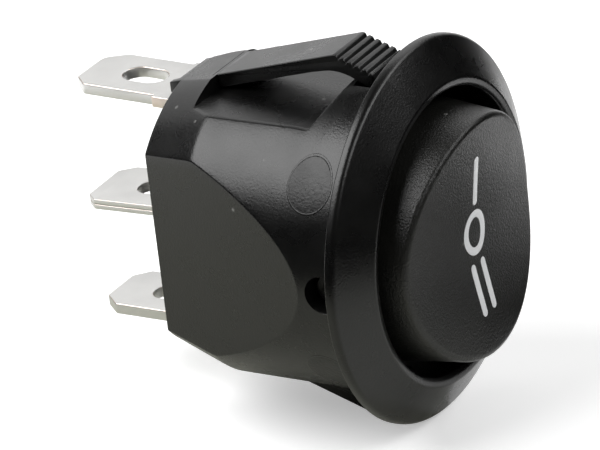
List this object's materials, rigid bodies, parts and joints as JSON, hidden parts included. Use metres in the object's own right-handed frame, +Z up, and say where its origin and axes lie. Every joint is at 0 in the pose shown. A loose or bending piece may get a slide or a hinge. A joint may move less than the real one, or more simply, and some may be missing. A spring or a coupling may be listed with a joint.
{
  "type": "panel rocker switch",
  "caption": "Round snap-in rocker switch with a dished rocker, sprung latch arms and blade terminals in a row; switches one line to either of two circuits.",
  "frame": {"origin": "centre of the bezel's back face, where it seats on the panel", "axes": "+X to the right seen from the front, +Y back through the panel towards the terminals, +Z up towards the position I"},
  "size_m": [0.023, 0.0262, 0.023],
  "materials": {
    "housing_plastic": "satin black moulded nylon",
    "rocker_plastic": "fine textured black moulded nylon",
    "mark_ink": "white print",
    "terminal_metal": "tin-plated brass",
    "contact_metal": "silver alloy",
    "arm_metal": "bare brass",
    "plunger_plastic": "natural nylon",
    "spring_steel": "spring steel wire"
  },
  "bodies": {
    "base": {"housing": "housing_plastic", "terminal_upper": "terminal_metal", "terminal_centre": "terminal_metal", "terminal_lower": "terminal_metal", "fixed_contact_upper": "contact_metal", "fixed_contact_lower": "contact_metal"},
    "rocker_body": {"rocker": "rocker_plastic", "mark_one": "mark_ink", "mark_off": "mark_ink", "mark_two": "mark_ink", "spring": "spring_steel"},
    "plunger_body": {"plunger": "plunger_plastic"},
    "arm_body": {"contact_arm": "arm_metal", "moving_contact_upper": "contact_metal", "moving_contact_lower": "contact_metal"}
  },
  "joints": [
    {"name": "rocker_tilt", "type": "hinge", "parent": "base", "child": "rocker_body", "pos_m": [0, 0.00115, 0], "axis": [1, 0, 0], "range_deg": [-10, 10]},
    {"name": "arm_seesaw", "type": "hinge", "parent": "base", "child": "arm_body", "pos_m": [0, 0.01035, 0], "axis": [1, 0, 0], "range_deg": [-6.5, 6.5]},
    {"name": "plunger_slide", "type": "slide", "parent": "rocker_body", "child": "plunger_body", "axis": [0, 1, 0], "range_m": [-0.0005, 0], "stiffness_N_per_m": 400, "springref_m": 0.0008, "deforming": ["spring"]}
  ],
  "couplings": [
    {"joint": "arm_seesaw", "follows": "rocker_tilt", "ratio": -0.65}
  ]
}
